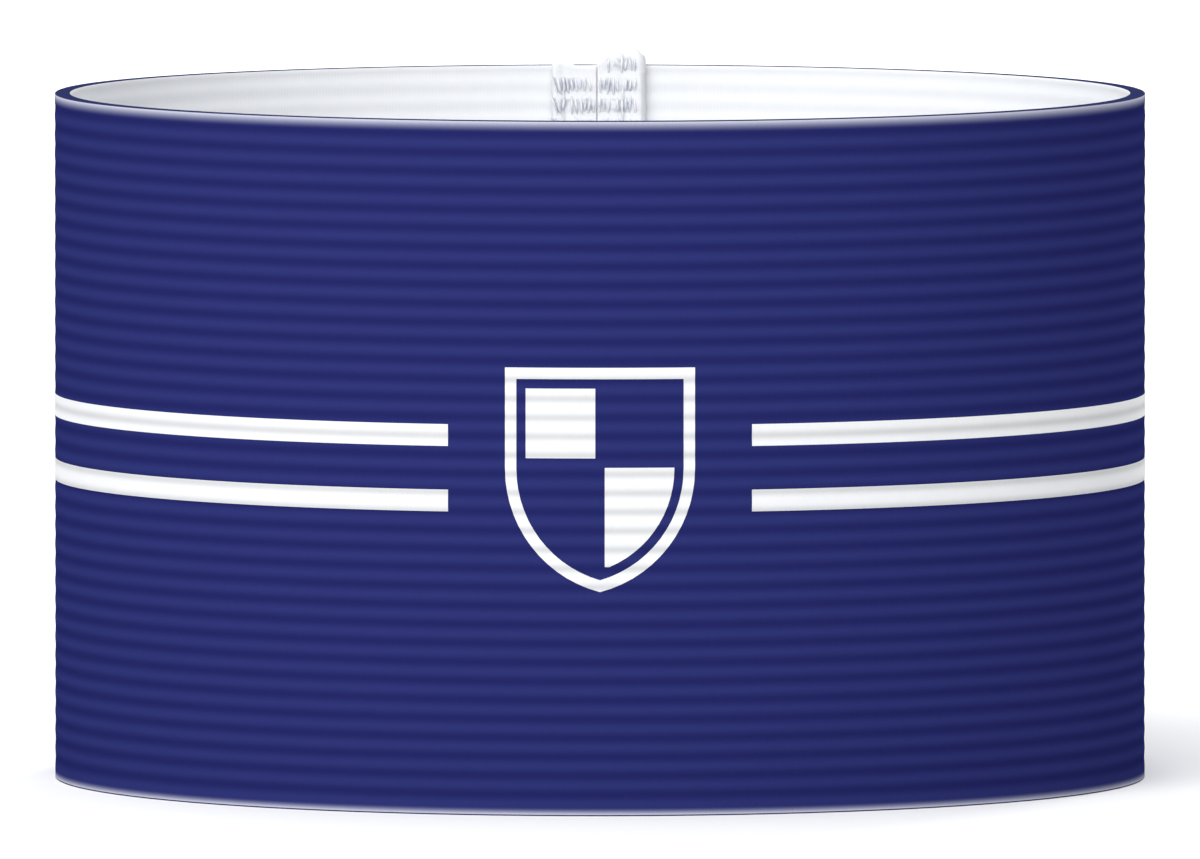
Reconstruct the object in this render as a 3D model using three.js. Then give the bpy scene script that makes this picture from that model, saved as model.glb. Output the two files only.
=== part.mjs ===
// A captain's armband: a strip of ribbed elastic sewn end to end into a loop, standing on its lower rim.
// Millimetres, +Z up. The origin is the centre of the lower rim, the front is at -Y and the seam at +Y.

import * as THREE from "three";

// The strip
const loopLength = 350; // round the outside of the band
const bandHeight = 70;
const wallThickness = 1.6;
const edgeBevel = Math.min(0.4, wallThickness / 4); // on the long edges, no more than the wall allows

// The ribs, which run round the band on both of its faces
const ribPitch = 1.9;
const firstGroove = 1.35; // from the upper rim down to the first groove
const lowerMargin = 1.3; // the least that is left between the last groove and the lower rim
const outerGrooveDepth = 0.18;
const innerGrooveDepth = 0.14;
const shortestStep = 0.1; // rows of the ribs that would lie closer than this are left out

// The seam, a shallow notch in both faces where the strip's ends meet
const notchWidth = 1.2;
const notchShare = 0.2; // the depth of each notch, as a share of the wall

// The seam allowances: the strip's two ends, turned back flat against the inner wall
const seamGap = 0.3; // between the two allowances
const seatClearance = 0.3; // from the inner wall to an allowance
const floorClearance = 0.3; // from the plane of the lower rim up to an allowance
const freeEdgeLift = 0.25; // how much further from the wall the free edge lies
const foldShare = 0.35; // the rounding of the fold at the seam, as a share of the wall
const stretchedHeight = 3; // the height below the upper rim that stretches where an allowance rises above it
const leftWidth = 4.4;
const leftRise = 0.6; // how far the left allowance rises above the upper rim
const rightWidth = 5.0;
const rightRise = 1.6;

// Facets round the band, a multiple of 4
const facetsAround = 28;

// What follows from these sizes
const outerRadius = loopLength / (2 * Math.PI);
const innerRadius = outerRadius - wallThickness;
const seamAngle = Math.PI / 2;
const facetAngle = (2 * Math.PI) / facetsAround;
const notchAngle = notchWidth / 2 / outerRadius;

const navyElastic = new THREE.MeshStandardMaterial({ color: "#2b3070", roughness: 0.85, metalness: 0 });
const whiteElastic = new THREE.MeshStandardMaterial({ color: "#eef0f5", roughness: 0.9, metalness: 0 });

// The heights at which a ribbed face has a row of points, upwards, each with its share of the groove's depth.
function ribRows(low, high) {
  const rows = [{ z: high, groove: 0 }];
  const least = Math.max(lowerMargin, low + shortestStep);
  for (let z = bandHeight - firstGroove; z > least; z -= ribPitch) {
    const crest = z + ribPitch / 2;
    if (rows.at(-1).z - crest > shortestStep) {
      rows.push({ z: crest, groove: 0 });
    }
    if (rows.at(-1).z - z > shortestStep) {
      rows.push({ z, groove: 1 });
    }
  }
  const lastCrest = rows.at(-1).z - ribPitch / 2;
  if (lastCrest - low > shortestStep) {
    rows.push({ z: lastCrest, groove: 0 });
  }
  rows.push({ z: low, groove: 0 });
  return rows.reverse();
}

// A closed skin over rings of equally many points. It closes on itself, or has a fan of facets on each end.
function skin(rings, endless) {
  const count = rings[0].length;
  const steps = endless ? rings.length : rings.length - 1;
  const index = [];
  for (let i = 0; i < steps; i += 1) {
    const here = i * count;
    const next = ((i + 1) % rings.length) * count;
    for (let j = 0; j < count; j += 1) {
      const k = (j + 1) % count;
      index.push(here + j, next + j, next + k);
      index.push(here + j, next + k, here + k);
    }
  }
  if (!endless) {
    const last = (rings.length - 1) * count;
    for (let j = 1; j < count - 1; j += 1) {
      index.push(0, j, j + 1);
      index.push(last, last + j + 1, last + j);
    }
  }
  const geometry = new THREE.BufferGeometry().setFromPoints(rings.flat());
  geometry.setIndex(index);
  geometry.computeVertexNormals();
  return geometry;
}

// The strip's cross-section: up the outer face, over the upper rim, down the inner face and back under.
// Each point has its height and its depth from the outer face.
function stripSection() {
  const rows = ribRows(edgeBevel, bandHeight - edgeBevel);
  const outer = rows.map((row) => ({ z: row.z, depth: row.groove * outerGrooveDepth }));
  const inner = rows.map((row) => ({ z: row.z, depth: wallThickness - row.groove * innerGrooveDepth }));
  return [
    ...outer,
    { z: bandHeight, depth: edgeBevel },
    { z: bandHeight, depth: wallThickness - edgeBevel },
    ...inner.reverse(),
    { z: 0, depth: wallThickness - edgeBevel },
    { z: 0, depth: edgeBevel },
  ];
}

// The section at one angle round the band. In the seam's notch the wall is thinner from both faces.
function stripRing(section, angle, notch) {
  return section.map(({ z, depth }) => {
    const radius = outerRadius - notch - (depth * (wallThickness - 2 * notch)) / wallThickness;
    return new THREE.Vector3(radius * Math.cos(angle), radius * Math.sin(angle), z);
  });
}

function elasticBand() {
  const section = stripSection();
  const rings = [stripRing(section, seamAngle, notchShare * wallThickness)];
  rings.push(stripRing(section, seamAngle + notchAngle, 0));
  for (let i = 1; i < facetsAround; i += 1) {
    rings.push(stripRing(section, seamAngle + i * facetAngle, 0));
  }
  rings.push(stripRing(section, seamAngle - notchAngle, 0));
  return new THREE.Mesh(skin(rings, true), navyElastic);
}

// The radius of the inner wall at an angle from the seam, where the wall is made of flat facets.
function wallRadius(angle) {
  const facet = Math.floor(angle / facetAngle);
  const start = Math.max(facet * facetAngle, notchAngle);
  const middle = (start + (facet + 1) * facetAngle) / 2;
  return (innerRadius * Math.cos(middle - start)) / Math.cos(angle - middle);
}

// An allowance's corners seen from above, clockwise from the middle of its visible face. Each has its
// distance from the seam as a share of the width, and its distance from the allowance's back as a share
// of the thickness. Only the corners of the visible face follow the ribs.
function allowanceCorners(width) {
  const fold = (foldShare * wallThickness) / width;
  return [
    { across: 0.5, out: 1, ribbed: 1 },
    { across: fold, out: 1, ribbed: 1 },
    { across: 0, out: 1 - foldShare, ribbed: 0 },
    { across: 0, out: 0, ribbed: 0 },
    { across: 1, out: 0, ribbed: 0 },
    { across: 1, out: 1, ribbed: 1 },
  ];
}

// One turned-back end. Its upper end rises above the rim between two shares of its width from the seam.
function seamAllowance({ side, width, rise, riseStart, riseEnd }) {
  const corners = allowanceCorners(width);
  if (side < 0) {
    corners.push(...corners.splice(1).reverse());
  }
  const rings = ribRows(floorClearance, bandHeight).map((row) =>
    corners.map(({ across, out, ribbed }) => {
      const angle = (seamGap / 2 + across * width) / innerRadius;
      const offWall = seatClearance + across * freeEdgeLift + out * wallThickness;
      const radius = wallRadius(angle) - offWall + ribbed * row.groove * outerGrooveDepth;
      const stretched = Math.max(0, 1 - (bandHeight - row.z) / stretchedHeight);
      const lifted = rise * THREE.MathUtils.smoothstep(across, riseStart, riseEnd) * stretched;
      const turned = seamAngle - side * angle;
      return new THREE.Vector3(radius * Math.cos(turned), radius * Math.sin(turned), row.z + lifted);
    }),
  );
  return new THREE.Mesh(skin(rings, false), whiteElastic);
}

const left = { side: -1, width: leftWidth, rise: leftRise, riseStart: 0.3, riseEnd: 0.9 };
const right = { side: 1, width: rightWidth, rise: rightRise, riseStart: 0, riseEnd: 0.5 };

const pieces = {
  elastic_band: elasticBand(),
  seam_allowance_left: seamAllowance(left),
  seam_allowance_right: seamAllowance(right),
};

const armband = new THREE.Group();
for (const [name, mesh] of Object.entries(pieces)) {
  mesh.name = name;
  armband.add(mesh);
}

export default armband;
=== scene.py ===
"""A captain's armband of ribbed elastic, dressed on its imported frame. Lengths are in metres, +Z is up."""

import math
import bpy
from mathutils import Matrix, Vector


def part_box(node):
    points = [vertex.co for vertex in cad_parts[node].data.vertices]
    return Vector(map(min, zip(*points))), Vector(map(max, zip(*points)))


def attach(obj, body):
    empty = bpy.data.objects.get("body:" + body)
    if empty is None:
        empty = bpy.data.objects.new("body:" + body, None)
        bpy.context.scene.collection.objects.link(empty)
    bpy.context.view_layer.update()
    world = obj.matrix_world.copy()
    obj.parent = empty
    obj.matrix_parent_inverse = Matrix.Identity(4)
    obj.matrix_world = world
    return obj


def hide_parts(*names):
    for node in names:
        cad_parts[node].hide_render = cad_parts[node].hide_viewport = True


bl_info = {
    "name": "Captain Armband",
    "version": (1, 0, 0),
    "blender": (4, 5, 0),
    "location": "3D View > Sidebar > Armband",
    "description": "Makes an elastic captain's armband with its print, turned-back ends and thread",
    "category": "Mesh",
}

import bmesh
import bpy
from bpy.props import FloatProperty, FloatVectorProperty, IntProperty, PointerProperty
from bpy.types import Operator, Panel, PropertyGroup
from mathutils import Vector

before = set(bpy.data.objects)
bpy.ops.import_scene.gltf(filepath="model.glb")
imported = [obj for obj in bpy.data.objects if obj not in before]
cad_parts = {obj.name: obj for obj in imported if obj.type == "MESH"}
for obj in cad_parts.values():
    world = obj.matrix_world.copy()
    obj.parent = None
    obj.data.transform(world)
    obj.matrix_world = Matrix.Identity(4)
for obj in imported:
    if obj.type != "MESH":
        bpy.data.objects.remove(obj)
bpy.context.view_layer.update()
band_low, band_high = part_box("elastic_band")

MM = 0.001
TAU = 2 * math.pi

# The ribs, and the painted highlights along the outer long edges
LOWER_MARGIN = 1.3 * MM  # the least between the last groove and the lower rim
PLAIN_TOP = 0.25 * MM  # without ribs under the upper rim, and the height below it over which they fade in
# Heights over which the painted highlights fade from the upper and the lower rim
UPPER_HIGHLIGHT = 1.15 * MM
LOWER_HIGHLIGHT = 0.78 * MM

# The seam's notch, as distances from the seam to where it is full and to where it ends
NOTCH_FULL = 0.1 * MM
NOTCH_END = 0.8 * MM
SEAM_CROWDING = 0.75  # how much closer the steps round the band lie at the seam, below 1

# The turned-back ends beside the seam, seen from the front, a little wider than their CAD nodes by their
# loose yarn. Rises are above the upper rim, and start and end are shares of the width.
ENDS = {
    "left": {
        "side": -1,
        "width": 4.7 * MM,
        "rise": 0.65 * MM,
        "rise_start": 0.5,
        "rise_end": 0.8,
        "corner_drop": 0.3 * MM,
        "edge_radius": 0.35 * MM,
        "edge_depth": 0.5 * MM,
        "stitch_line": 3.6 * MM,
        "rows_above_rim": 0,
        "seed": 11,
    },
    "right": {
        "side": 1,
        "width": 5.1 * MM,
        "rise": 1.75 * MM,
        "rise_start": -0.12,
        "rise_end": 0.36,
        "corner_drop": 0.6 * MM,
        "edge_radius": 0.7 * MM,
        "edge_depth": 1.1 * MM,
        "stitch_line": 2.75 * MM,
        "rows_above_rim": 1,
        "seed": 23,
    },
}


def length_property(name, text, value):
    """A length that a user may change, shown in the scene's unit."""
    return FloatProperty(name=name, description=text, default=value, min=0.0, unit="LENGTH", precision=5)


def colour_property(name, text, value):
    """A colour that a user may change."""
    return FloatVectorProperty(name=name, description=text, default=value, subtype="COLOR", min=0.0, max=1.0)


class ArmbandSizes(PropertyGroup):
    """The sizes of the armband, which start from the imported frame."""

    height: length_property("Height", "From the lower to the upper rim", band_high.z - band_low.z)
    outer_radius: length_property("Outer radius", "From the axis to the face", (band_high.x - band_low.x) / 2)
    wall: length_property("Wall", "Thickness of the elastic", 1.6 * MM)
    rounding: length_property("Edge rounding", "Radius of the long edges", 0.12 * MM)
    rib_pitch: length_property("Rib pitch", "From one rib to the next", 1.9 * MM)
    first_outside: length_property("First groove outside", "From the upper rim to the first groove", 1.35 * MM)
    first_inside: length_property("First groove inside", "From the upper rim to the first groove", 0.7 * MM)
    outer_depth: length_property("Outer groove depth", "Depth of the grooves outside", 0.05 * MM)
    inner_depth: length_property("Inner groove depth", "Depth of the grooves inside", 0.08 * MM)
    yarn_pitch: length_property("Yarn pitch", "From one warp yarn to the next", 0.38 * MM)
    seam_gap: length_property("Seam gap", "Between the two turned-back ends", 0.05 * MM)
    seam_shift: length_property("Seam shift", "From the middle of the back to the seam, leftwards", 0.32 * MM)
    row_pitch: length_property("Row pitch", "From one row of yarn floats to the next", 2.15 * MM)
    first_row: length_property("First row", "From the upper rim to the first row of floats", 1.95 * MM)
    notch_share: FloatProperty(
        name="Seam notch", description="Depth of the seam's notch in the wall", default=0.2, subtype="FACTOR"
    )
    segments: IntProperty(name="Segments", description="Steps round the band", default=168, min=24)
    rows: IntProperty(name="Rows", description="Steps from rim to rim on each face", default=276, min=24)


class ArmbandColours(PropertyGroup):
    """The colours of the armband, as linear values."""

    # The ridge and groove colours differ by painted light: painted shade in the grooves and a greyer painted sheen on
    # the ridges.
    lit_ridge: colour_property("Navy ridge", "The navy face on the ribs", (0.0215, 0.0262, 0.129))
    groove: colour_property("Navy groove", "The navy face between the ribs", (0.0131, 0.0156, 0.094))
    # The rims' navy is greyer than the face's: a painted sheen.
    rim: colour_property("Rim", "The navy rims", (0.0256, 0.0310, 0.1005))
    # A painted highlight along the outer long edges.
    edge_highlight: colour_property("Selvedge", "The pale yarn at the long edges", (0.55, 0.56, 0.65))
    inside: colour_property("Inside", "The white inner face", (0.82, 0.83, 0.85))
    ink: colour_property("Ink", "The printed motif", (0.72, 0.73, 0.74))
    shaded_ground: colour_property("Shaded ground", "The ground between the yarn floats", (0.50, 0.52, 0.57))
    shaded_yarn: colour_property("Shaded yarn", "The darker parts of the yarn", (0.55, 0.58, 0.67))


class Socket:
    """An output of a node, on which arithmetic adds Math nodes."""

    def __init__(self, tree, link):
        self.tree = tree
        self.link = link

    def __add__(self, other):
        return self.tree.math("ADD", self, other)

    def __sub__(self, other):
        return self.tree.math("SUBTRACT", self, other)

    def __rsub__(self, other):
        return self.tree.math("SUBTRACT", other, self)

    def __mul__(self, other):
        return self.tree.math("MULTIPLY", self, other)

    def __truediv__(self, other):
        return self.tree.math("DIVIDE", self, other)

    def __rtruediv__(self, other):
        return self.tree.math("DIVIDE", other, self)

    def __neg__(self):
        return self * -1.0

    __radd__ = __add__
    __rmul__ = __mul__


class Tree:
    """Adds nodes to the node tree of a material, the world or a Geometry Nodes group."""

    def __init__(self, node_tree):
        self.nodes = node_tree.nodes
        self.links = node_tree.links

    def node(self, kind, settings=None, values=None, output=0):
        """Adds a node with its settings and the values or links of its sockets, and gives one output."""
        made = self.nodes.new(kind)
        for name, setting in (settings or {}).items():
            setattr(made, name, setting)
        for key, value in (values or {}).items():
            if isinstance(value, Socket):
                self.links.new(value.link, made.inputs[key])
            else:
                made.inputs[key].default_value = value
        return Socket(self, made.outputs[output]) if made.outputs else None

    def math(self, operation, *values, clamp=False):
        """A Math node on values or sockets."""
        return self.node("ShaderNodeMath", {"operation": operation, "use_clamp": clamp}, dict(enumerate(values)))

    def clamped(self, value):
        """The value, held between 0 and 1."""
        return self.math("ADD", value, 0.0, clamp=True)

    def wave(self, value, pitch):
        """A cosine from 0 to 1 that is 1 wherever value is a multiple of pitch."""
        return self.math("COSINE", value * (TAU / pitch)) * 0.5 + 0.5

    def ease(self, value, low, high):
        """Rises smoothly from 0 to 1 between low and high."""
        return self.node("ShaderNodeMapRange", {"interpolation_type": "SMOOTHSTEP"}, {0: value, 1: low, 2: high})

    def split(self, vector):
        """The x, y and z of a vector."""
        made = self.node("ShaderNodeSeparateXYZ", None, {0: vector})
        return [Socket(self, output) for output in made.link.node.outputs]

    def joined(self, x, y, z):
        """A vector from its x, y and z."""
        return self.node("ShaderNodeCombineXYZ", None, {0: x, 1: y, 2: z})

    def mix(self, factor, first, second):
        """A colour from first at factor 0 to second at factor 1."""
        return self.node("ShaderNodeMix", {"data_type": "RGBA"}, {0: factor, 6: first, 7: second}, 2)

    def shade(self, colour, factor):
        """The colour made darker or lighter by a factor."""
        grey = self.joined(factor, factor, factor)
        plain = colour if isinstance(colour, Socket) else colour[:3]
        return self.node("ShaderNodeVectorMath", {"operation": "MULTIPLY"}, {0: plain, 1: grey})

    def noise(self, vector, size, detail=2.0):
        """Noise from 0 to 1 with features of about that size."""
        return self.node("ShaderNodeTexNoise", None, {"Vector": vector, "Scale": 1.0 / size, "Detail": detail})

    def random(self, low, high, seed):
        """A random number for each point, from a fixed seed."""
        return self.node("FunctionNodeRandomValue", None, {2: low, 3: high, 8: seed}, 1)


def rgba(colour):
    """A colour with full alpha."""
    return (*colour[:3], 1.0)


def ribbed_range(sizes, first):
    """The heights between which a face is ribbed, down to a crest above the lower rim."""
    top = sizes.height - first
    grooves = int((top - LOWER_MARGIN) / sizes.rib_pitch)
    return top - (grooves + 0.5) * sizes.rib_pitch, sizes.height - PLAIN_TOP


def groove_at(sizes, first, z):
    """How deep in a groove a height is, from 0 on a crest to 1. The first groove is that far below the rim."""
    low, high = ribbed_range(sizes, first)
    wave = 0.5 + 0.5 * math.cos(TAU * (z - sizes.height + first) / sizes.rib_pitch)
    return wave * (1 - smoothstep(z, high - PLAIN_TOP, high)) if z > low else 0.0


def groove_socket(tree, sizes, first, z):
    """The same as groove_at, in nodes."""
    low, high = ribbed_range(sizes, first)
    wave = tree.wave(z - (sizes.height - first), sizes.rib_pitch)
    return wave * tree.math("GREATER_THAN", z, low) * (1.0 - tree.ease(z, high - PLAIN_TOP, high))


def smoothstep(value, low, high):
    """Rises smoothly from 0 to 1 between low and high, like Tree.ease."""
    t = min(1.0, max(0.0, (value - low) / (high - low)))
    return t * t * (3 - 2 * t)


def add_object(name, mesh):
    """A new object at the origin that shows the mesh."""
    made = bpy.data.objects.new(name, mesh)
    bpy.context.scene.collection.objects.link(made)
    return made


def mesh_from(name, bm, material):
    """A mesh from a bmesh, smooth but for its sharp edges."""
    mesh = bpy.data.meshes.new(name)
    bm.to_mesh(mesh)
    bm.free()
    mesh.polygons.foreach_set("use_smooth", [True] * len(mesh.polygons))
    mesh.set_sharp_from_angle(angle=math.radians(50))
    mesh.materials.append(material)
    return mesh


def grown(name, build, inputs, material):
    """An object with the plain mesh that a Geometry Nodes tree makes from its named inputs."""
    group = bpy.data.node_groups.new(name, "GeometryNodeTree")
    group.interface.new_socket("Geometry", in_out="OUTPUT", socket_type="NodeSocketGeometry")
    identifiers = {}
    for label, value in inputs.items():
        kind = "NodeSocketInt" if isinstance(value, int) else "NodeSocketFloat"
        identifiers[label] = group.interface.new_socket(label, in_out="INPUT", socket_type=kind).identifier
    tree = Tree(group)
    source = group.nodes.new("NodeGroupInput")
    geometry = build(tree, **{label: Socket(tree, source.outputs[label]) for label in inputs})
    smooth = tree.node("GeometryNodeSetShadeSmooth", None, {0: geometry})
    realized = tree.node("GeometryNodeRealizeInstances", None, {0: smooth})
    finished = tree.node("GeometryNodeSetMaterial", None, {0: realized, "Material": material})
    tree.node("NodeGroupOutput", None, {0: finished})

    made = add_object(name, bpy.data.meshes.new(name))
    modifier = made.modifiers.new(name, "NODES")
    modifier.node_group = group
    for label, identifier in identifiers.items():
        modifier[identifier] = inputs[label]
    evaluated = made.evaluated_get(bpy.context.evaluated_depsgraph_get())
    mesh = bpy.data.meshes.new_from_object(evaluated)
    made.modifiers.remove(modifier)
    made.data = mesh
    return made


def painted(name, paint):
    """A material whose nodes paint(tree) adds; it gives the shader."""
    made = bpy.data.materials.new(name)
    made.use_nodes = True
    made.node_tree.nodes.clear()
    tree = Tree(made.node_tree)
    tree.node("ShaderNodeOutputMaterial", None, {"Surface": paint(tree)})
    return made


def round_the_band(tree, outer_radius):
    """Object coordinates as distance round the band, distance from the axis, and height."""
    x, y, z = tree.split(tree.node("ShaderNodeTexCoord", None, None, "Object"))
    radius = tree.math("SQRT", x * x + y * y)
    around = tree.math("ARCTAN2", x, -y) * outer_radius
    return around, radius, z


def cloth_shader(tree, colour, roughness, height, bump, specular=0.0):
    """A matt cloth surface with a fine relief."""
    normal = tree.node("ShaderNodeBump", None, {"Strength": 1.0, "Distance": bump, "Height": height})
    values = {
        "Base Color": colour,
        "Roughness": roughness,
        "Normal": normal,
        "Specular IOR Level": specular,
    }
    return tree.node("ShaderNodeBsdfPrincipled", None, values)


def elastic_material(sizes, colours):
    """Ribbed elastic: navy outside and on the rims, white inside. Painted shade lies in its grooves, a painted sheen on
    its ridges and rims, and a painted highlight along its outer long edges.
    """

    def paint(tree):
        around, radius, z = round_the_band(tree, sizes.outer_radius)
        groove = groove_socket(tree, sizes, sizes.first_outside, z)
        inner_groove = groove_socket(tree, sizes, sizes.first_inside, z)
        place = tree.joined(around, radius, z)
        slub = tree.noise(place, 2.5 * MM)
        fibre = tree.noise(tree.joined(around, radius, z * 0.25), 0.12 * MM, 3.0)
        yarn = tree.wave(around, sizes.yarn_pitch)
        tint = 0.965 + slub * 0.04 + fibre * 0.03

        # The navy carries painted light: painted shade in the grooves and a greyer painted sheen on the ridges.
        navy = tree.shade(tree.mix(groove, rgba(colours.lit_ridge), rgba(colours.groove)), tint)
        from_top = sizes.height - z
        # The painted highlights fade in under the upper rim and over the lower one. The lower one is full a little
        # above the rim, because a navy line lies under it.
        upper = tree.math("SUBTRACT", 1.0, from_top / UPPER_HIGHLIGHT, clamp=True)
        lower = tree.math("SUBTRACT", 1.12, z / LOWER_HIGHLIGHT, clamp=True)
        from_rims = tree.math("MINIMUM", from_top, z)
        on_face = tree.ease(from_top, 0.02 * MM, 0.09 * MM) * tree.ease(z, 0.1 * MM, 0.17 * MM)
        # The rims carry a painted sheen in their greyer navy.
        navy = tree.mix(on_face, rgba(colours.rim), navy)
        outside = tree.mix((upper * upper + lower * lower) * on_face, navy, rgba(colours.edge_highlight))

        # Painted shade darkens the white in the inner grooves.
        white = tree.shade(rgba(colours.inside), tint - inner_groove * 0.06)
        is_inside = tree.math("LESS_THAN", radius, sizes.outer_radius - 0.5 * sizes.wall)
        is_white = is_inside * tree.ease(from_rims, 0.015 * MM, 0.035 * MM)
        colour = tree.mix(is_white, outside, white)
        relief = yarn * (0.6 - is_white * 0.4) + fibre * 0.4
        return cloth_shader(tree, colour, 0.82 + slub * 0.12, relief, 0.02 * MM)

    return painted("ribbed_elastic", paint)


def ink_material(sizes, colours):
    """A thin film of white ink that the ribs and the yarn show through, with painted shade in the grooves."""

    def paint(tree):
        around, radius, z = round_the_band(tree, sizes.outer_radius)
        groove = groove_socket(tree, sizes, sizes.first_outside, z)
        grain = tree.noise(tree.joined(around, radius, z), 0.2 * MM, 3.0)
        wear = tree.noise(tree.joined(around, radius, z), 3.0 * MM)
        yarn = tree.wave(around, sizes.yarn_pitch)
        # Painted shade in the grooves, with a tone that varies at random.
        tint = 1.0 - groove * groove * 0.26 + (grain - 0.5) * 0.04 + (wear - 0.5) * 0.03
        colour = tree.shade(rgba(colours.ink), tint)
        return cloth_shader(tree, colour, 0.55 + grain * 0.15, yarn * 0.5 + grain * 0.5, 0.012 * MM, 0.1)

    return painted("white_ink", paint)


def allowance_material(sizes, colours, label):
    """White elastic with painted shade on its ground between the yarn floats, and along its free edge.

    The left free edge has a painted shadow stroke on each row, which leans like the overlock thread beside it. The
    right one has a plain strip of painted shade.
    """

    def paint(tree):
        around, radius, z = round_the_band(tree, sizes.outer_radius)
        place = tree.joined(around, radius, z)
        fibre = tree.noise(tree.joined(around, radius, z * 0.3), 0.15 * MM, 3.0)
        patch = tree.noise(place, 1.1 * MM)
        rows = tree.node("ShaderNodeAttribute", {"attribute_name": "shaded"}, None, "Fac")
        edge = tree.node("ShaderNodeAttribute", {"attribute_name": "from_edge"}, None, "Fac")
        shaded = rows * (0.15 + 0.85 * tree.ease(patch, 0.4, 0.62))
        # Painted shadow along the free edge: a leaning stroke on each row at the left, a plain strip at the right.
        if label == "left":
            top_row = sizes.height - sizes.first_row + 0.5 * sizes.row_pitch
            row = tree.math("FLOORED_MODULO", (z - top_row) / sizes.row_pitch, 1.0)
            off_line = tree.math("ABSOLUTE", edge - (0.62 - row * 0.58) * MM)
            edge_shade = (1.0 - tree.ease(off_line, 0.09 * MM, 0.2 * MM)) * tree.ease(row, 0.1, 0.22)
            edge_shade = edge_shade * (1.0 - tree.ease(row, 0.8, 0.92))
        else:
            edge_shade = (1.0 - tree.ease(edge, 0.3 * MM, 0.5 * MM)) * 0.3
        below_rim = 1.0 - tree.ease(z, sizes.height - 0.9 * MM, sizes.height - 0.6 * MM)
        shaded = tree.clamped(shaded + edge_shade * below_rim)
        colour = tree.mix(shaded, rgba(colours.inside), rgba(colours.shaded_ground))
        colour = tree.shade(colour, 0.93 + fibre * 0.14)
        return cloth_shader(tree, colour, 0.9 - fibre * 0.1, fibre, 0.05 * MM)

    return painted("turned_elastic_" + label, paint)


def thread_material(colours):
    """Twisted white yarn with a little blue in its shade."""

    def paint(tree):
        place = tree.node("ShaderNodeTexCoord", None, None, "Object")
        fibre = tree.noise(place, 0.08 * MM, 3.0)
        batch = tree.noise(place, 0.9 * MM)
        colour = tree.mix(tree.ease(batch, 0.35, 0.75), rgba(colours.inside), rgba(colours.shaded_yarn))
        colour = tree.shade(colour, 0.96 + fibre * 0.1)
        return cloth_shader(tree, colour, 0.85 - fibre * 0.1, fibre, 0.03 * MM)

    return painted("white_yarn", paint)


def band_nodes(sizes):
    """Gives the function that builds the band: a rounded section swept round, ribbed, with a notched seam."""

    def build(tree, height, wall, outer_radius, rounding, outer_depth, inner_depth, notch, segments, rows):
        middle = outer_radius - wall * 0.5
        circle = tree.node("GeometryNodeCurvePrimitiveCircle", None, {"Resolution": segments, "Radius": middle})
        turn = tree.node("GeometryNodeSplineParameter") * TAU
        angle = turn - tree.math("SINE", turn) * SEAM_CROWDING
        around = tree.joined(tree.math("SINE", angle) * middle, tree.math("COSINE", angle) * middle, 0.0)
        path = tree.node("GeometryNodeSetPosition", None, {0: circle, "Position": around})
        path = tree.node("GeometryNodeSetCurveNormal", {"mode": "Z_UP"}, {0: path})

        section = tree.node("GeometryNodeCurvePrimitiveQuadrilateral", None, {0: wall, 1: height})
        section = tree.node("GeometryNodeFilletCurve", {"mode": "POLY"}, {0: section, 1: 4, "Radius": rounding})
        # Only the two long sides of the section get the steps of the ribs, each from the corner it starts at.
        across, up, _ = tree.split(tree.node("GeometryNodeInputPosition"))
        on_side = tree.math("GREATER_THAN", tree.math("ABSOLUTE", across), wall * 0.4999)
        side_starts = on_side * tree.math("LESS_THAN", across * up, 0.0)
        section = tree.node("GeometryNodeSubdivideCurve", None, {0: section, 1: side_starts * rows})
        strip = tree.node("GeometryNodeCurveToMesh", None, {0: path, 1: section})

        x, y, z = tree.split(tree.node("GeometryNodeInputPosition"))
        z = z + height * 0.5
        radius = tree.math("SQRT", x * x + y * y)
        outward = tree.math("GREATER_THAN", radius, middle)
        depth = inner_depth - outward * (inner_depth + outer_depth)
        outer_groove = groove_socket(tree, sizes, sizes.first_outside, z)
        inner_groove = groove_socket(tree, sizes, sizes.first_inside, z)
        groove = inner_groove + (outer_groove - inner_groove) * outward
        ribbed = radius + groove * depth
        past_seam = tree.math("ARCTAN2", x, y) * outer_radius + sizes.seam_shift
        notched = 1.0 - tree.ease(tree.math("ABSOLUTE", past_seam), NOTCH_FULL, NOTCH_END)
        shaped = middle + (ribbed - middle) * (1.0 - notched * notch * 2.0)
        scale = shaped / radius
        return tree.node(
            "GeometryNodeSetPosition", None, {0: strip, "Position": tree.joined(x * scale, y * scale, z)}
        )

    return build


def make_band(sizes, colours):
    """The closed strip of ribbed elastic, in place of its CAD node. Its turned-back ends are made before it."""
    inputs = {
        "height": sizes.height,
        "wall": sizes.wall,
        "outer_radius": sizes.outer_radius,
        "rounding": sizes.rounding,
        "outer_depth": sizes.outer_depth,
        "inner_depth": sizes.inner_depth,
        "notch": sizes.notch_share,
        "segments": sizes.segments,
        "rows": sizes.rows,
    }
    band = grown("ribbed_band", band_nodes(sizes), inputs, elastic_material(sizes, colours))
    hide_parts("elastic_band")
    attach(band, "root")


# The print, from the middle of the front and the mid-height
SHIELD_HALF_WIDTH = 9.6 * MM
SHIELD_TOP = 10.2 * MM
SHIELD_MIDDLE = 0.6 * MM  # the height at which its quarters meet
SHIELD_ARC = 12.8 * MM
SHIELD_LINE = 1.15 * MM
SHIELD_GAP = 0.95 * MM
STRIPE_START = 15.5 * MM
STRIPE_INNER = 2.2 * MM
STRIPE_OUTER = 4.4 * MM
PRINT_CLEAR_OF_SEAM = 7 * MM


def shield_side(inset, count=14):
    """The right side of a shield, from its top corner down to its point, drawn in from the edge by inset."""
    centre = SHIELD_HALF_WIDTH - SHIELD_ARC
    radius = SHIELD_ARC - inset
    end = math.acos(-centre / radius)
    points = [(SHIELD_HALF_WIDTH - inset, SHIELD_TOP - inset)]
    for i in range(count + 1):
        angle = end * i / count
        points.append((centre + radius * math.cos(angle), -radius * math.sin(angle)))
    return points


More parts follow.
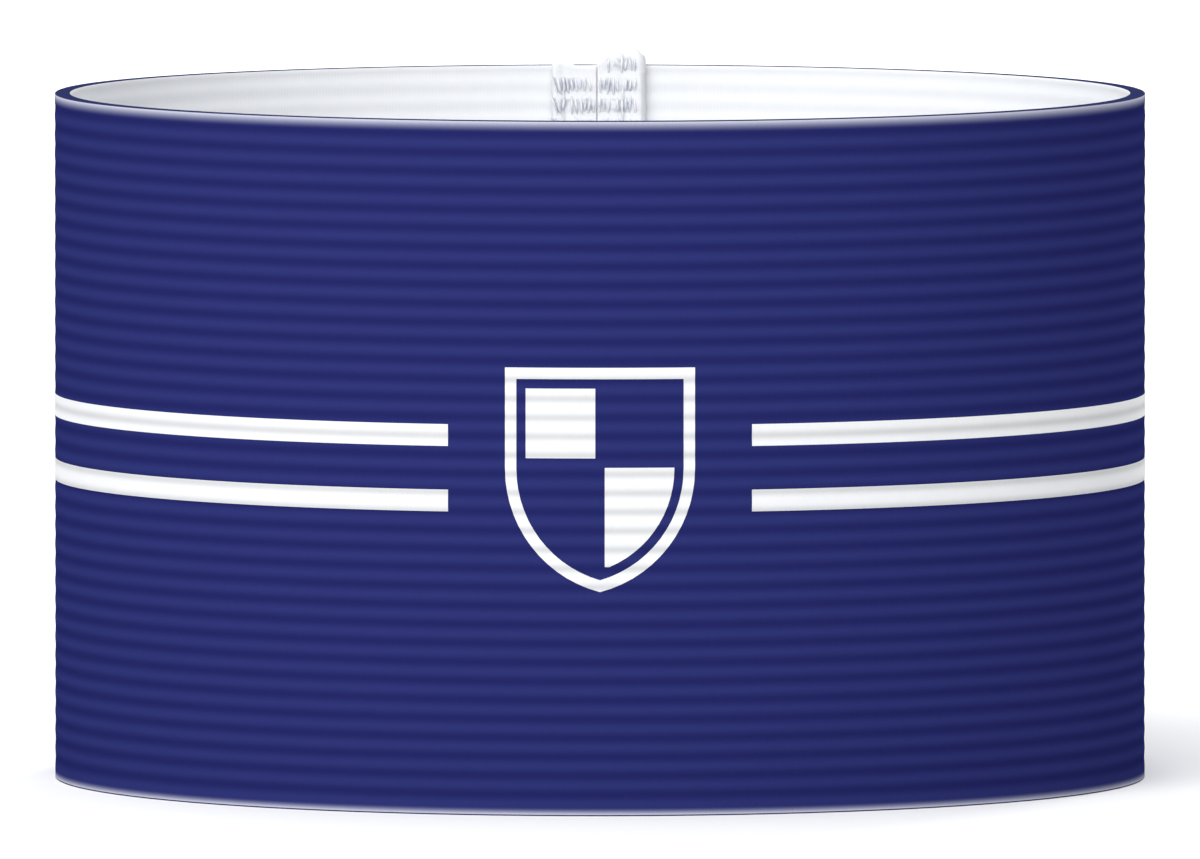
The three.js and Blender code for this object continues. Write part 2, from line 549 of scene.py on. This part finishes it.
def shield_polygons():
    """A shield with a line round it, quartered in white and navy."""
    outer, inner = shield_side(0.0), shield_side(SHIELD_LINE)
    polygons = []
    for mirror in (1, -1):
        for i in range(len(outer) - 1):
            corners = [outer[i], outer[i + 1], inner[i + 1], inner[i]]
            polygons.append([(mirror * s, z) for s, z in corners])
    (wide, top), (narrow, lower) = outer[0], inner[0]
    polygons.append([(wide, top), (narrow, lower), (-narrow, lower), (-wide, top)])

    field = shield_side(SHIELD_LINE + SHIELD_GAP)
    half_gap = SHIELD_GAP / 2
    above, below = SHIELD_MIDDLE + half_gap, SHIELD_MIDDLE - half_gap
    edge, top = field[0]
    polygons.append([(-edge, top), (-half_gap, top), (-half_gap, above), (-edge, above)])
    lower_right = [(half_gap, below), (edge, below)]
    lower_right += [point for point in field[1:] if point[0] > half_gap + 0.1 * MM]
    point_height = field[-1][1]
    lower_right.append((half_gap, point_height + 0.35 * MM))
    polygons.append(lower_right)
    return polygons


def stripe_polygons(outer_radius):
    """Two plain stripes on each side of the shield, which run round to the seam."""
    end = math.pi * outer_radius - PRINT_CLEAR_OF_SEAM
    polygons = []
    for side in (1, -1):
        for level in (1, -1):
            low, high = sorted((level * STRIPE_INNER, level * STRIPE_OUTER))
            near, far = sorted((side * STRIPE_START, side * end))
            polygons.append([(near, low), (far, low), (far, high), (near, high)])
    return polygons


def anticlockwise(polygon):
    """The polygon, turned round if its corners run clockwise as seen from outside the band."""
    doubled_area = sum(polygon[i - 1][0] * z - s * polygon[i - 1][1] for i, (s, z) in enumerate(polygon))
    return polygon if doubled_area > 0 else polygon[::-1]


def ink_film(name, polygons, sizes, material):
    """A thin closed film on the outer face. A corner is its distance round the band and from the mid-height."""
    step_up = 0.24 * MM
    step_round = 1.9 * MM
    thickness = 0.07 * MM
    stands_out = 0.035 * MM
    bm = bmesh.new()
    for polygon in polygons:
        bm.faces.new([bm.verts.new((s, 0.0, z)) for s, z in anticlockwise(polygon)])
    bmesh.ops.remove_doubles(bm, verts=bm.verts[:], dist=0.001 * MM)
    for axis, size in ((2, step_up), (0, step_round)):
        low = min(vertex.co[axis] for vertex in bm.verts)
        high = max(vertex.co[axis] for vertex in bm.verts)
        normal = Vector((0, 0, 0))
        normal[axis] = 1
        for i in range(math.floor(low / size) + 1, math.ceil(high / size)):
            everything = bm.verts[:] + bm.edges[:] + bm.faces[:]
            bmesh.ops.bisect_plane(bm, geom=everything, plane_co=normal * i * size, plane_no=normal)
    bmesh.ops.remove_doubles(bm, verts=bm.verts[:], dist=0.004 * MM)

    # The sheet is bent round the band and gets a back and walls. This is done by hand, because solidify makes
    # the walls in another order on each run.
    corners, sheet = bm.verts[:], bm.faces[:]
    walls = [(loop.vert, loop.link_loop_next.vert) for edge in bm.edges if edge.is_boundary for loop in edge.link_loops]
    backs = {}
    for vertex in corners:
        s, _, z = vertex.co
        z += sizes.height / 2
        face = sizes.outer_radius - groove_at(sizes, sizes.first_outside, z) * sizes.outer_depth
        across, along = math.sin(s / sizes.outer_radius), -math.cos(s / sizes.outer_radius)
        front, back = face + stands_out, face + stands_out - thickness
        vertex.co = (front * across, front * along, z)
        backs[vertex] = bm.verts.new((back * across, back * along, z))
    for polygon in sheet:
        bm.faces.new([backs[vertex] for vertex in reversed(polygon.verts[:])])
    for start, end in walls:
        bm.faces.new((end, start, backs[start], backs[end]))
    film = add_object(name, mesh_from(name, bm, material))
    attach(film, "root")


def make_print(sizes, colours):
    """The shield at the front and the stripes round the band."""
    ink = ink_material(sizes, colours)
    ink_film("printed_shield", shield_polygons(), sizes, ink)
    ink_film("printed_stripes", stripe_polygons(sizes.outer_radius), sizes, ink)


# What the turned-back ends have in common
SEAT = 0.08 * MM  # from the inner wall to their backs
FREE_EDGE_LIFT = 0.1 * MM  # how much further from the wall the free edge lies
FOLD_RADIUS = 0.22 * MM
BACK_RADIUS = 0.2 * MM
END_THICKNESS = 1.82 * MM
FLOOR_CLEARANCE = 0.3 * MM
STRETCHED = 1.1 * MM  # the height below the upper rim that stretches where an end rises above it
SOFT_END = 0.3 * MM
ROW_DEPTH = 0.09 * MM
DENT_WIDTH = 0.28 * MM  # of the lockstitch
DENT_DEPTH = 0.16 * MM
PLAIN_END = 0.75 * MM  # without shaded rows, at the top
FADE_HEIGHT = 0.25 * MM
QUARTER_TURN = [math.pi / 2 * i / 5 for i in range(6)]


def end_section(width, edge_radius, edge_depth):
    """A turned-back end seen from above: distances from the seam, each with those of both faces from its back."""
    places = [FOLD_RADIUS * (1 - math.cos(turn)) for turn in QUARTER_TURN]
    flat = width - FOLD_RADIUS - edge_radius
    places += [FOLD_RADIUS + flat * i / 14 for i in range(1, 14)]
    places += [width - edge_radius * (1 - math.cos(turn)) for turn in reversed(QUARTER_TURN)]

    def rounded(across, radius):
        return radius - math.sqrt(radius**2 - (radius - across) ** 2) if across < radius else 0.0

    section = []
    for across in places:
        sloping = rounded(width - across, edge_radius) * edge_depth / edge_radius
        front = END_THICKNESS - rounded(across, FOLD_RADIUS) - sloping
        back = rounded(across, BACK_RADIUS) + rounded(width - across, BACK_RADIUS)
        section.append((across, front, back))
    return section


def end_levels(low, high):
    """Heights up a turned-back end, each with how far the section is drawn in there."""
    soft = [(SOFT_END * (1 - math.cos(turn)), SOFT_END * (1 - math.sin(turn))) for turn in QUARTER_TURN]
    start, stop = low + SOFT_END, high - SOFT_END
    rows = int((stop - start) / (0.2 * MM))
    levels = [(low + up, inset) for up, inset in soft]
    levels += [(start + (stop - start) * i / rows, 0.0) for i in range(1, rows)]
    return levels + [(high - down, inset) for down, inset in reversed(soft)]


def end_mesh(name, sizes, end, material):
    """One turned-back end: the section followed up the wall, with rows on its visible face and soft ends.

    Each point keeps how much painted shade its ground gets and how far it lies from the free edge, for the material.
    """
    inner_radius = sizes.outer_radius - sizes.wall
    width, side = end["width"], end["side"]
    bm = bmesh.new()
    shaded = bm.verts.layers.float.new("shaded")
    from_edge = bm.verts.layers.float.new("from_edge")
    highest_row = sizes.height + (end["rows_above_rim"] * sizes.row_pitch - PLAIN_END)

    def vertex(across, out, z, inset, visible):
        share = across / width
        lift = end["rise"] * smoothstep(share, end["rise_start"], end["rise_end"])
        lift -= end["corner_drop"] * smoothstep(share, 0.78, 1.0) ** 2
        z += lift * max(0.0, 1 - (sizes.height - z) / STRETCHED)
        groove = 0.5 - 0.5 * math.cos(TAU * (z - sizes.height + sizes.first_row) / sizes.row_pitch)
        across -= inset * share
        radius = inner_radius - SEAT - share * FREE_EDGE_LIFT - out
        if visible:
            dent = math.exp(-(((across - end["stitch_line"]) / DENT_WIDTH) ** 2)) * DENT_DEPTH
            radius += groove * ROW_DEPTH + dent + inset
        else:
            radius -= inset
        angle = (side * (sizes.seam_gap / 2 + across) - sizes.seam_shift) / inner_radius
        made = bm.verts.new((radius * math.sin(angle), radius * math.cos(angle), z))
        inside = smoothstep(across, 0.1 * MM, 0.5 * MM) * smoothstep(width - across, 0.5 * MM, 0.9 * MM)
        # Painted shade on the ground along the rows of floats, kept off the edges and the top.
        on_row = smoothstep(1 - groove, 0.15, 0.5) * (1 - smoothstep(z, highest_row - FADE_HEIGHT, highest_row))
        made[shaded] = on_row * inside if visible else 0.0
        made[from_edge] = width - across
        return made

    section = end_section(width, end["edge_radius"], end["edge_depth"])
    rings = []
    for z, inset in end_levels(FLOOR_CLEARANCE, sizes.height):
        front = [vertex(across, out, z, inset, True) for across, out, _ in section]
        back = [vertex(across, out, z, inset, False) for across, _, out in section]
        rings.append((front, back))
    for front, back in (rings[0], rings[-1]):
        for i in range(len(front) - 1):
            bm.faces.new((front[i], front[i + 1], back[i + 1], back[i]))
    loops = [front + back[::-1] for front, back in rings]
    for lower, upper in zip(loops, loops[1:]):
        for j in range(len(lower)):
            bm.faces.new((lower[j - 1], lower[j], upper[j], upper[j - 1]))
    bmesh.ops.recalc_face_normals(bm, faces=bm.faces[:])
    return mesh_from(name, bm, material)


def make_ends(sizes, colours):
    """The two turned-back ends inside the seam, in place of their CAD nodes."""
    for label, end in ENDS.items():
        name = "turned_end_" + label
        material = allowance_material(sizes, colours, label)
        made = add_object(name, end_mesh(name, sizes, end, material))
        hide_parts("seam_allowance_" + label)
        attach(made, "root")


def end_surface(tree, sizes, end, across, height, lifted):
    """The place and the turn of something that lies on the visible face of a turned-back end."""
    inner_radius = sizes.outer_radius - sizes.wall
    share = across / end["width"]
    missing = 1.0 - tree.ease(share, end["rise_start"], end["rise_end"])
    radius = inner_radius - SEAT - END_THICKNESS - share * FREE_EDGE_LIFT
    angle = ((across + sizes.seam_gap / 2) * end["side"] - sizes.seam_shift) / inner_radius
    z = height - missing * lifted * end["rise"]
    return tree.joined(tree.math("SINE", angle) * radius, tree.math("COSINE", angle) * radius, z), angle


# How far loose yarn floats stray, and the share of them that is missing
STRAY_ACROSS = 0.07 * MM
STRAY_UP = 0.12 * MM
STRAY_LEAN = 0.16
MISSING = 0.14


def strand_nodes(sizes, end):
    """Gives the function that builds rows of short strands, which come out of the cloth and go back in."""

    def build(tree, columns, rows, first_across, across_step, first_height, above_rim, length, thickness, tilt, loose):
        index = tree.node("GeometryNodeInputIndex")
        column = tree.math("MODULO", index, columns)
        row = tree.math("FLOOR", index / columns + 0.001)
        seed = end["seed"]
        across = first_across + across_step * column + tree.random(-STRAY_ACROSS, STRAY_ACROSS, seed) * loose
        height = first_height - row * sizes.row_pitch + tree.random(-STRAY_UP, STRAY_UP, seed + 1) * loose
        lifted = tree.math("LESS_THAN", row, 0.5) * above_rim
        place, angle = end_surface(tree, sizes, end, across, height, lifted)
        points = tree.node("GeometryNodePoints", None, {0: columns * rows, 1: place})

        lower_end = tree.joined(0.0, 0.0, length * -0.5)
        upper_end = tree.joined(0.0, 0.0, length * 0.5)
        line = tree.node("GeometryNodeCurvePrimitiveLine", None, {"Start": lower_end, "End": upper_end})
        line = tree.node("GeometryNodeResampleCurve", {"mode": "COUNT"}, {0: line, "Count": 6})
        along = tree.node("GeometryNodeSplineParameter") * 2.0 - 1.0
        arch = 1.0 - along * along
        raised = tree.joined(0.0, thickness * 0.6 - arch * thickness * 1.6, 0.0)
        line = tree.node("GeometryNodeSetPosition", None, {0: line, "Offset": raised})
        circle = tree.node("GeometryNodeCurvePrimitiveCircle", None, {"Resolution": 5, "Radius": thickness})
        strand = tree.node(
            "GeometryNodeCurveToMesh", None, {0: line, 1: circle, "Scale": 0.5 + arch * 0.5, "Fill Caps": True}
        )
        leaning = tilt + tree.random(-STRAY_LEAN, STRAY_LEAN, seed + 2) * loose
        turn = tree.node("FunctionNodeEulerToRotation", None, {0: tree.joined(0.0, leaning, -angle)})
        stretch = tree.joined(1.0, 1.0, 1.0 - tree.random(-0.1, 0.35, seed + 3) * loose)
        kept = tree.math("GREATER_THAN", tree.random(0.0, 1.0, seed + 4), loose * MISSING)
        values = {0: points, "Selection": kept, "Instance": strand, "Rotation": turn, "Scale": stretch}
        return tree.node("GeometryNodeInstanceOnPoints", None, values)

    return build


def make_thread(sizes, colours):
    """The yarn floats, the lockstitch and the overlock thread on the turned-back ends."""
    yarn = thread_material(colours)
    first_row = sizes.height - sizes.first_row
    rows = int((first_row - 1.5 * MM) / sizes.row_pitch) + 1
    for label, end in ENDS.items():
        above_rim = end["rows_above_rim"]
        step = 0.47 * MM
        floats = {
            "columns": int((end["width"] - 0.9 * MM) / step) + 1,
            "rows": rows + above_rim,
            "first_across": 0.3 * MM,
            "across_step": step,
            "first_height": first_row + above_rim * sizes.row_pitch,
            "above_rim": float(above_rim),
            "length": 1.7 * MM,
            "thickness": 0.14 * MM,
            "tilt": 0.0,
            "loose": 1.0,
        }
        stitch = {
            "columns": 1,
            "rows": rows,
            "first_across": end["stitch_line"],
            "first_height": first_row - 0.5 * sizes.row_pitch,
            "above_rim": 0.0,
            "length": 1.5 * MM,
            "thickness": 0.09 * MM,
            "loose": 0.0,
        }
        made = [
            grown("yarn_floats_" + label, strand_nodes(sizes, end), floats, yarn),
            grown("lockstitch_" + label, strand_nodes(sizes, end), floats | stitch, yarn),
        ]
        if label == "left":
            overlock = {
                "columns": 2,
                "rows": rows,
                "first_across": end["width"] - 0.6 * MM,
                "across_step": 0.46 * MM,
                "first_height": first_row,
                "above_rim": 0.0,
                "length": 1.9 * MM,
                "thickness": 0.1 * MM,
                "tilt": -0.33,
                "loose": 0.0,
            }
            made.append(grown("overlock_left", strand_nodes(sizes, end), overlock, yarn))
        for piece in made:
            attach(piece, "root")


def make_stage():
    """The floor, the lights and the camera."""
    scene = bpy.context.scene
    scene.view_settings.view_transform = "Standard"
    scene.view_settings.look = "None"

    world = bpy.data.worlds.new("studio")
    world.use_nodes = True
    world.node_tree.nodes.clear()
    tree = Tree(world.node_tree)
    # The sky is brighter on the left. A world's first texture coordinate is the direction looked in.
    towards_right, _, _ = tree.split(tree.node("ShaderNodeTexCoord"))
    strength = 0.65 - towards_right * 0.32
    sky = tree.node("ShaderNodeBackground", None, {"Color": (0.97, 0.98, 1.0, 1.0), "Strength": strength})
    tree.node("ShaderNodeOutputWorld", None, {"Surface": sky})
    scene.world = world

    def floor_paint(tree):
        grain = tree.noise(tree.node("ShaderNodeTexCoord", None, None, "Object"), 4 * MM)
        colour = tree.shade((0.97, 0.97, 0.97, 1.0), 0.995 + grain * 0.01)
        values = {"Base Color": colour, "Roughness": 1.0, "Specular IOR Level": 0.0}
        return tree.node("ShaderNodeBsdfPrincipled", None, values)

    reach = 30.0
    mesh = bpy.data.meshes.new("floor")
    corners = [(-reach, -reach, 0), (reach, -reach, 0), (reach, reach, 0), (-reach, reach, 0)]
    mesh.from_pydata(corners, [], [(0, 1, 2, 3)])
    mesh.materials.append(painted("pale_floor", floor_paint))
    add_object("floor", mesh)

    def lamp(name, azimuth, elevation, distance, size, power):
        """A soft square light that faces the armband. Azimuth 0 is at the front and 90 on the right."""
        data = bpy.data.lights.new(name, "AREA")
        data.size = size
        data.energy = power
        made = add_object(name, data)
        turn, rise = math.radians(azimuth), math.radians(elevation)
        towards = Vector((math.sin(turn) * math.cos(rise), -math.cos(turn) * math.cos(rise), math.sin(rise)))
        made.location = towards * distance
        made.rotation_euler = towards.to_track_quat("Z", "Y").to_euler()
        made.visible_camera = False

    lamp("key", azimuth=-15, elevation=42, distance=2.6, size=2.2, power=59.0)
    lamp("fill", azimuth=180, elevation=42, distance=2.6, size=2.2, power=14.0)
    lamp("edge", azimuth=158, elevation=16, distance=2.6, size=0.6, power=26.0)

    camera_data = bpy.data.cameras.new("camera")
    camera = add_object("camera", camera_data)
    camera_data.lens = 998
    camera_data.sensor_width = 36
    camera_data.clip_end = 200
    distance, elevation, aim = 3.4, math.radians(3.59), Vector((0, 0, 35.5 * MM))
    camera.location = aim + distance * Vector((0, -math.cos(elevation), math.sin(elevation)))
    camera.rotation_euler = (camera.location - aim).to_track_quat("Z", "Y").to_euler()
    scene.camera = camera


class ARMBAND_OT_band(Operator):
    """Makes the loop of ribbed elastic"""

    bl_idname = "armband.band"
    bl_label = "Ribbed band"

    def execute(self, context):
        make_band(context.scene.armband_sizes, context.scene.armband_colours)
        return {"FINISHED"}


class ARMBAND_OT_print(Operator):
    """Prints the shield and the stripes on the band"""

    bl_idname = "armband.print"
    bl_label = "White print"

    def execute(self, context):
        make_print(context.scene.armband_sizes, context.scene.armband_colours)
        return {"FINISHED"}


class ARMBAND_OT_ends(Operator):
    """Makes the two turned-back ends inside the seam"""

    bl_idname = "armband.ends"
    bl_label = "Turned-back ends"

    def execute(self, context):
        make_ends(context.scene.armband_sizes, context.scene.armband_colours)
        return {"FINISHED"}


class ARMBAND_OT_thread(Operator):
    """Makes the yarn floats and the stitches on the turned-back ends"""

    bl_idname = "armband.thread"
    bl_label = "Thread"

    def execute(self, context):
        make_thread(context.scene.armband_sizes, context.scene.armband_colours)
        return {"FINISHED"}


class ARMBAND_OT_stage(Operator):
    """Makes the floor, the lights and the camera"""

    bl_idname = "armband.stage"
    bl_label = "Stage"

    def execute(self, context):
        make_stage()
        return {"FINISHED"}


class ARMBAND_PT_panel(Panel):
    """Lists the armband's sizes, colours and pieces"""

    bl_idname = "ARMBAND_PT_panel"
    bl_label = "Captain Armband"
    bl_space_type = "VIEW_3D"
    bl_region_type = "UI"
    bl_category = "Armband"

    def draw(self, context):
        for group in (context.scene.armband_sizes, context.scene.armband_colours):
            box = self.layout.box()
            for name in group.__annotations__:
                box.prop(group, name)
        for operator in OPERATORS:
            self.layout.operator(operator.bl_idname)


OPERATORS = (ARMBAND_OT_stage, ARMBAND_OT_ends, ARMBAND_OT_band, ARMBAND_OT_thread, ARMBAND_OT_print)
CLASSES = (ArmbandSizes, ArmbandColours, *OPERATORS, ARMBAND_PT_panel)


def register():
    for cls in CLASSES:
        bpy.utils.register_class(cls)
    bpy.types.Scene.armband_sizes = PointerProperty(type=ArmbandSizes)
    bpy.types.Scene.armband_colours = PointerProperty(type=ArmbandColours)


def unregister():
    del bpy.types.Scene.armband_colours
    del bpy.types.Scene.armband_sizes
    for cls in reversed(CLASSES):
        bpy.utils.unregister_class(cls)


def main():
    register()
    bpy.ops.armband.stage()
    bpy.ops.armband.ends()
    bpy.ops.armband.band()
    bpy.ops.armband.thread()
    bpy.ops.armband.print()


if __name__ == "__main__":
    main()
